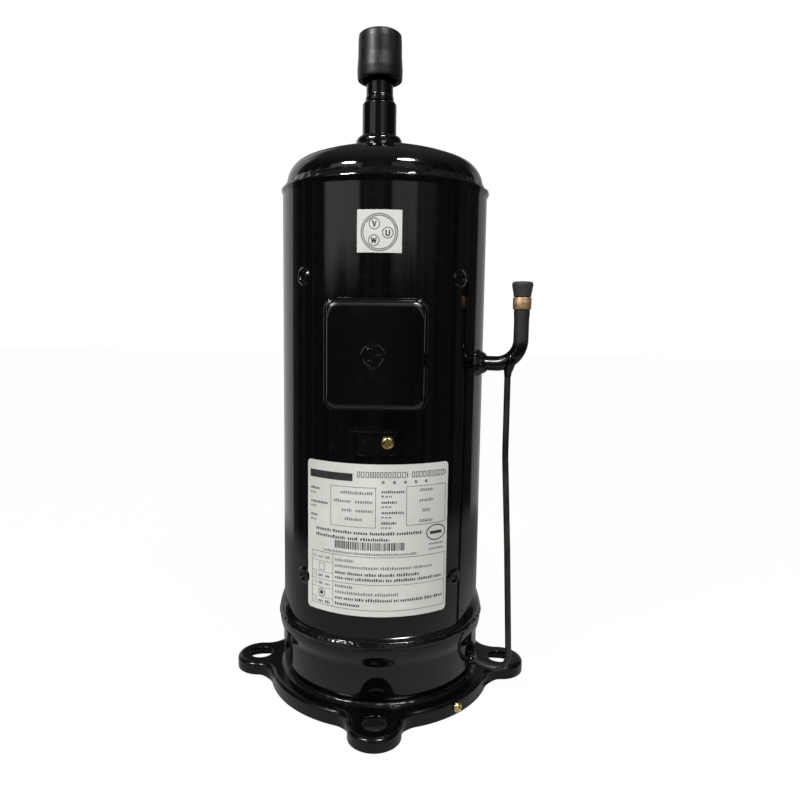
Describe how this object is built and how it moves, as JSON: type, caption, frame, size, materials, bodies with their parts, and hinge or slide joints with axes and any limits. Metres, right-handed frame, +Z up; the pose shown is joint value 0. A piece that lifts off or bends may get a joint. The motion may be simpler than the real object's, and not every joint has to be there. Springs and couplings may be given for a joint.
{
  "type": "hermetic refrigeration compressor",
  "caption": "Tall black hermetic refrigeration compressor: capped top suction pipe, side discharge elbow, terminal box, oil tube and foot plate, with its scroll set and motor inside.",
  "frame": {"origin": "on the shell axis at the lower edge of the base skirt", "axes": "+Z up along the shell axis, terminal cover facing -Y, two feet on X and two on Y"},
  "size_m": [0.25, 0.25, 0.5327],
  "materials": {
    "black_paint": "deep gloss black paint",
    "copper": "bare copper",
    "label": "off-white satin film",
    "rubber": "matt black rubber",
    "plug_rubber": "dark grey-green rubber",
    "steel": "machined steel",
    "seal_glass": "fused glass",
    "brass": "bright zinc-yellow brass",
    "cast_iron": "machined casting",
    "bronze": "bearing bronze",
    "lamination": "stacked electrical steel",
    "lead_plastic": "lead sleeving",
    "aluminium": "die cast"
  },
  "bodies": {
    "housing": {"shell": "black_paint", "top_cap": "black_paint", "bottom_cap": "black_paint", "base_plate": "black_paint", "lower_weld_bead": "black_paint", "upper_weld_bead": "black_paint", "plate_weld_bead": "black_paint", "suction_collar": "black_paint", "suction_sleeve": "black_paint", "suction_pipe": "black_paint", "discharge_collar": "black_paint", "discharge_pipe": "black_paint", "discharge_copper_socket": "copper", "oil_tube": "black_paint", "name_plate": "label", "terminal_diagram": "label", "terminal_box_frame": "black_paint", "cover_gasket": "rubber", "terminal_body": "steel", "terminal_glass_u": "seal_glass", "terminal_glass_v": "seal_glass", "terminal_glass_w": "seal_glass", "terminal_pin_u": "copper", "terminal_pin_v": "copper", "terminal_pin_w": "copper", "box_lower_bracket": "black_paint", "earth_plate": "black_paint", "earth_screw": "brass", "base_earth_screw": "brass", "fixed_scroll": "cast_iron", "scroll_bolt_1": "steel", "scroll_bolt_2": "steel", "scroll_bolt_3": "steel", "scroll_bolt_4": "steel", "main_frame": "cast_iron", "main_bearing_bush": "bronze", "stator_core": "lamination", "stator_winding": "copper", "motor_lead_bundle": "lead_plastic", "lower_frame": "cast_iron", "lower_bearing_bush": "bronze", "suction_inner_elbow": "steel", "suction_valve_spring": "steel", "reed_guard": "steel", "reed_bolt": "steel"},
    "crank": {"crankshaft": "steel", "rotor_core": "lamination", "rotor_cage": "aluminium", "upper_balance_weight": "bronze", "lower_balance_weight": "bronze", "oil_pickup_tube": "steel"},
    "orbiter": {"orbiting_scroll": "cast_iron", "orbiting_bush": "bronze"},
    "oil_plug": {"crank_oil_plug": "steel"},
    "oldham": {"oldham_ring": "aluminium"},
    "suction_valve": {"suction_valve_disc": "steel"},
    "reed": {"discharge_reed": "steel"},
    "suction_cap": {"suction_rubber_cap": "rubber"},
    "discharge_plug": {"discharge_rubber_plug": "plug_rubber"},
    "cover": {"terminal_cover": "black_paint"}
  },
  "joints": [
    {"name": "crank_spin", "type": "hinge", "parent": "housing", "child": "crank", "pos_m": [0, 0, 0.2], "axis": [0, 0, 1], "continuous": true},
    {"name": "orbit_turn", "type": "hinge", "parent": "crank", "child": "orbiter", "pos_m": [0.0045, 0, 0.335], "axis": [0, 0, 1], "continuous": true},
    {"name": "oil_plug_turn", "type": "hinge", "parent": "crank", "child": "oil_plug", "pos_m": [0.00225, 0, 0.341], "axis": [0, 0, 1], "continuous": true},
    {"name": "oldham_carry", "type": "hinge", "parent": "oil_plug", "child": "oldham", "pos_m": [0.0045, 0, 0.341], "axis": [0, 0, 1], "continuous": true},
    {"name": "suction_valve_slide", "type": "slide", "parent": "housing", "child": "suction_valve", "axis": [0, 0, -1], "range_m": [0, 0.003], "stiffness_N_per_m": 60, "springref_m": -0.002, "deforming": ["suction_valve_spring"]},
    {"name": "reed_lift", "type": "hinge", "parent": "housing", "child": "reed", "pos_m": [0, 0.022, 0.3987], "axis": [-1, 0, 0], "range_deg": [0, 3], "stiffness_Nm_per_rad": 0.4, "springref_deg": -1.15},
    {"name": "suction_cap_pull", "type": "slide", "parent": "housing", "child": "suction_cap", "axis": [0, 0, 1], "range_m": [0, 0.05]},
    {"name": "discharge_plug_pull", "type": "slide", "parent": "housing", "child": "discharge_plug", "axis": [0, 0, 1], "range_m": [0, 0.02]},
    {"name": "cover_pull", "type": "slide", "parent": "housing", "child": "cover", "axis": [0, -1, 0], "range_m": [0, 0.04]}
  ],
  "couplings": [
    {"joint": "orbit_turn", "follows": "crank_spin", "ratio": -1},
    {"joint": "oil_plug_turn", "follows": "crank_spin", "ratio": -2},
    {"joint": "oldham_carry", "follows": "crank_spin", "ratio": 1}
  ]
}
